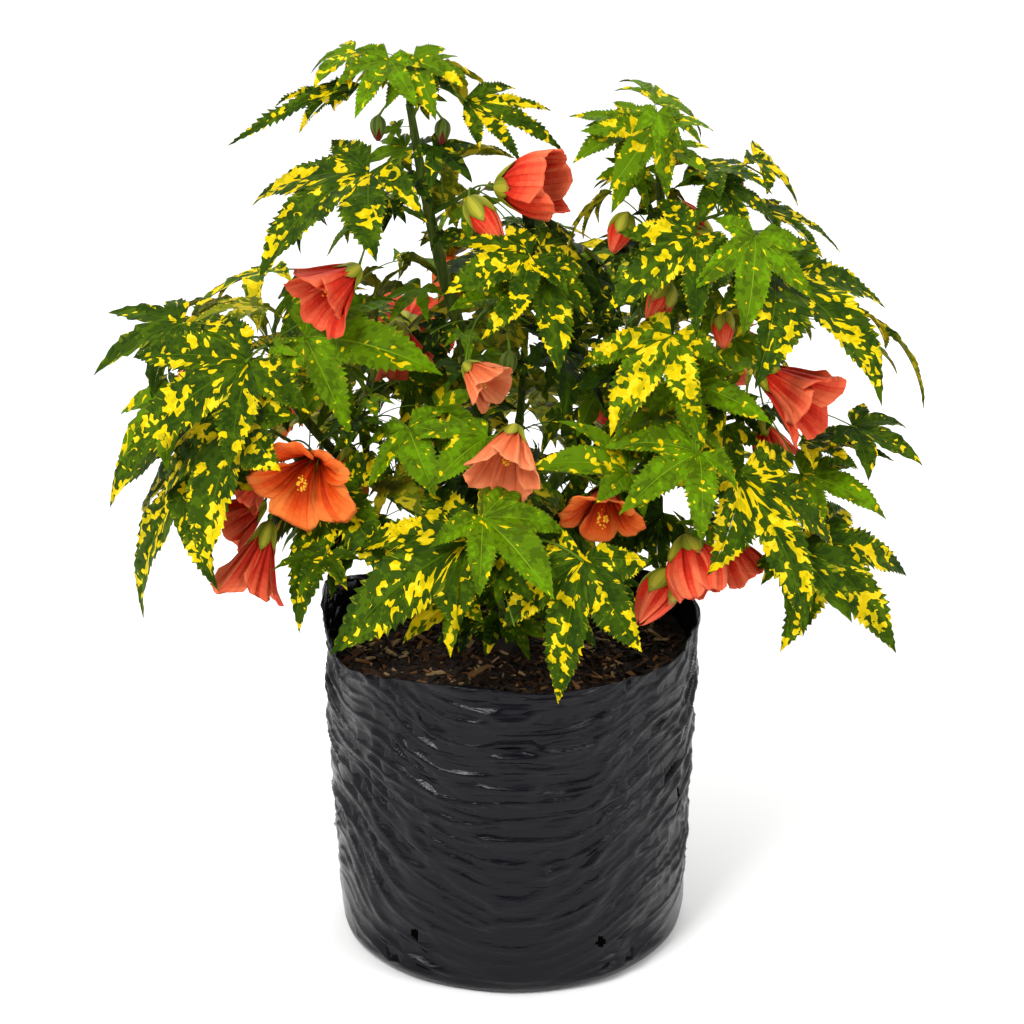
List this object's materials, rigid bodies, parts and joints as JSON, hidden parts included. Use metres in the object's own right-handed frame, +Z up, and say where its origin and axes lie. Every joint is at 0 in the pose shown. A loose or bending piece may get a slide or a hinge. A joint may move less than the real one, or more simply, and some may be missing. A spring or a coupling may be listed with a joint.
{
  "type": "potted flowering maple",
  "caption": "Bushy flowering maple with yellow-mottled lobed leaves and hanging coral bells, growing in a round black film grow bag.",
  "frame": {"origin": "centre of the grow bag's flat underside", "axes": "+Z up the plant, +X to the right and -Y to the front as first seen, with the fullest blossom at the front"},
  "size_m": [0.433, 0.3557, 0.4828],
  "materials": {
    "film": "glossy creased black polythene film",
    "potting_mix": "loose dark potting mix with bark chips",
    "bark": "satin green-brown young bark",
    "foliage": "satin leaves mottled yellow, coral petals"
  },
  "bodies": {
    "root": {"grow_bag": "film", "potting_mix": "potting_mix", "leader": "bark", "right_stem": "bark", "left_bough": "bark", "right_bough": "bark", "low_right_bough": "bark", "front_bough": "bark", "front_low_bough": "bark", "low_left_bough": "bark", "back_left_bough": "bark", "back_right_bough": "bark", "back_bough": "bark", "back_low_bough": "bark", "leader_crown": "foliage", "leader_left": "foliage", "leader_right": "foliage", "low_left": "foliage", "centre_top": "foliage", "right_crown": "foliage", "right_upper": "foliage", "right_front": "foliage", "right_outer": "foliage", "right_mid": "foliage", "right_centre": "foliage", "low_right": "foliage", "front_centre": "foliage", "front_low": "foliage", "left_outer": "foliage", "left_low": "foliage", "left_centre": "foliage", "left_back": "foliage", "right_back": "foliage", "back_left": "foliage", "back_right": "foliage", "back_top": "foliage", "back_low": "foliage"}
  },
  "joints": []
}
